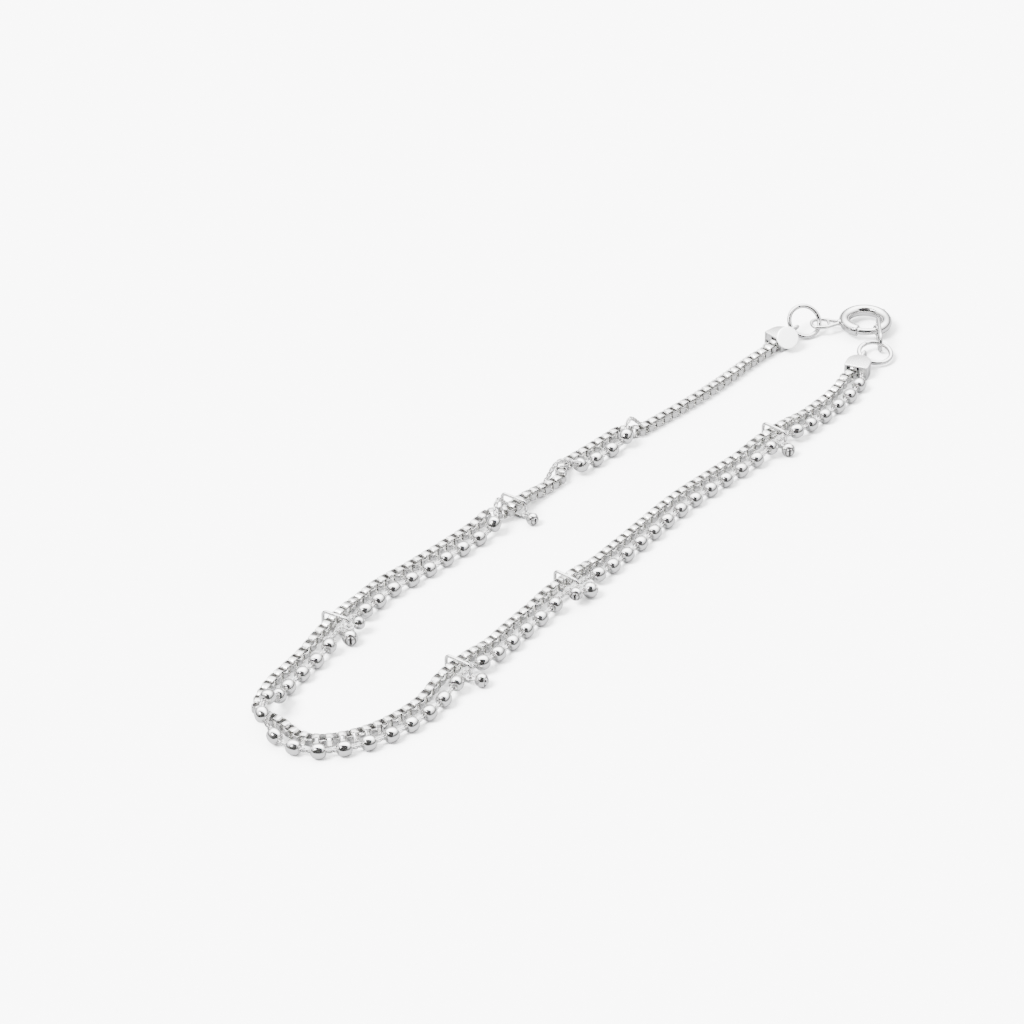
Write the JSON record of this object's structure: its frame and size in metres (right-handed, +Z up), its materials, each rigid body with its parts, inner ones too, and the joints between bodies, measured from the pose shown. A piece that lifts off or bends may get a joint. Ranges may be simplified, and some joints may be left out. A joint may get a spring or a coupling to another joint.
{
  "type": "payal anklet",
  "caption": "Silver payal anklet: a box chain and a bead chain with tiny slit bells, closed by a spring ring clasp.",
  "frame": {"origin": "on the surface it lies on, under the middle of its box", "axes": "+Z up from the surface, +X along the two strands towards the clasp, +Y across to the back strand"},
  "size_m": [0.131, 0.0256, 0.0044],
  "materials": {
    "silver": "bright polished silver",
    "silver_chain": "polished silver, finely cut links"
  },
  "bodies": {
    "anklet": {"box_chain": "silver_chain", "bead_chain": "silver", "end_cap_disc": "silver", "jump_ring_back": "silver", "spring_ring": "silver", "end_cap_flat": "silver", "jump_ring_front": "silver", "clasp_link": "silver", "station_ring_1": "silver", "station_ring_2": "silver", "station_ring_3": "silver", "station_ring_4": "silver", "station_ring_5": "silver", "bell_1": "silver", "bell_2": "silver", "bell_3": "silver", "bell_4": "silver", "bell_5": "silver", "bell_6": "silver", "bell_7": "silver"},
    "bolt": {"clasp_bolt": "silver"}
  },
  "joints": [
    {"name": "bolt_slide", "type": "hinge", "parent": "anklet", "child": "bolt", "pos_m": [0.06123, -0.00186, 0.0015], "axis": [0, 0, 1], "range_deg": [0, 55], "stiffness_Nm_per_rad": 0.00001, "springref_deg": -11.46}
  ]
}
